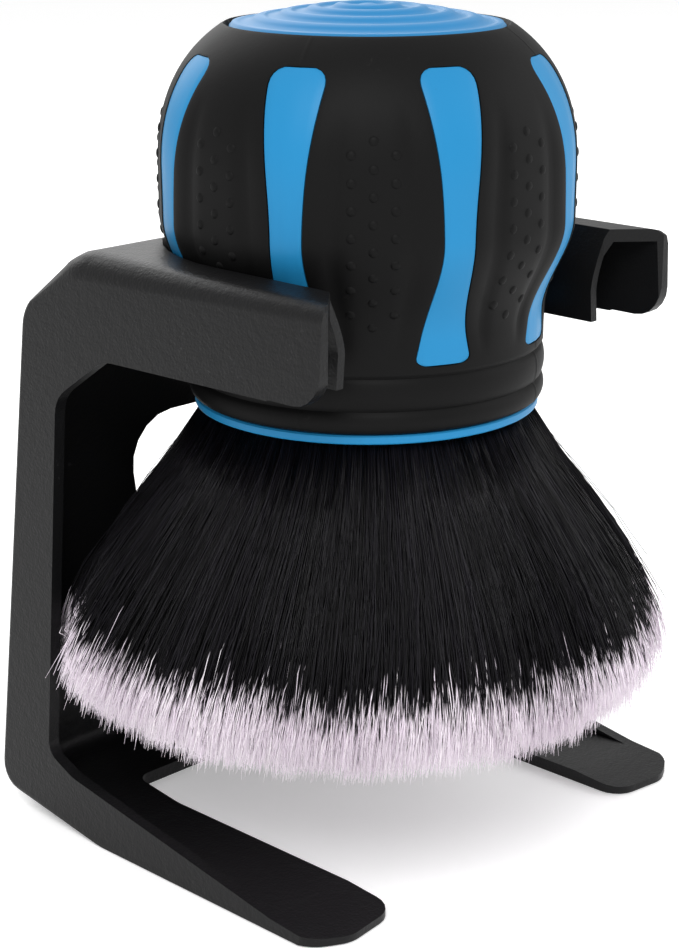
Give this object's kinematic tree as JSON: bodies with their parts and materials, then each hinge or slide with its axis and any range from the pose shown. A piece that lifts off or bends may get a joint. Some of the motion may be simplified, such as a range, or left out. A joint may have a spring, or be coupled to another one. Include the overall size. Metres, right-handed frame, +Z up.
{
  "type": "fade brush with stand",
  "caption": "Round rubber-skinned barber brush with a flared bristle bundle, hanging by its tapered grip in a C-shaped forked stand.",
  "frame": {"origin": "on the ground, under the middle of the assembly's bounding box", "axes": "+Z up along the brush axis; the stand's back is at +Y and the brush leaves it towards -Y; X runs across the fork"},
  "size_m": [0.0958, 0.0892, 0.1292],
  "materials": {
    "stand_plastic": "black moulded plastic, satin with a fine grain",
    "sleeve_rubber": "soft black overmoulded rubber, dull, with small raised dots",
    "core_plastic": "bright blue moulded plastic, half gloss",
    "cap_plastic": "bright blue moulded plastic with ring ripples",
    "cup_plastic": "bright blue moulded plastic",
    "set_resin": "set resin, hidden",
    "bristle_fibre": "black synthetic fibre with pale lilac tips"
  },
  "bodies": {
    "stand": {"stand": "stand_plastic"},
    "brush": {"grip_sleeve": "sleeve_rubber", "grip_core": "core_plastic", "top_cap": "cap_plastic", "ferrule_cup": "cup_plastic", "glue_plug": "set_resin", "bristles": "bristle_fibre"}
  },
  "joints": [
    {"name": "brush_slide", "type": "slide", "parent": "stand", "child": "brush", "axis": [0, -1, 0], "range_m": [0, 0.075]}
  ]
}
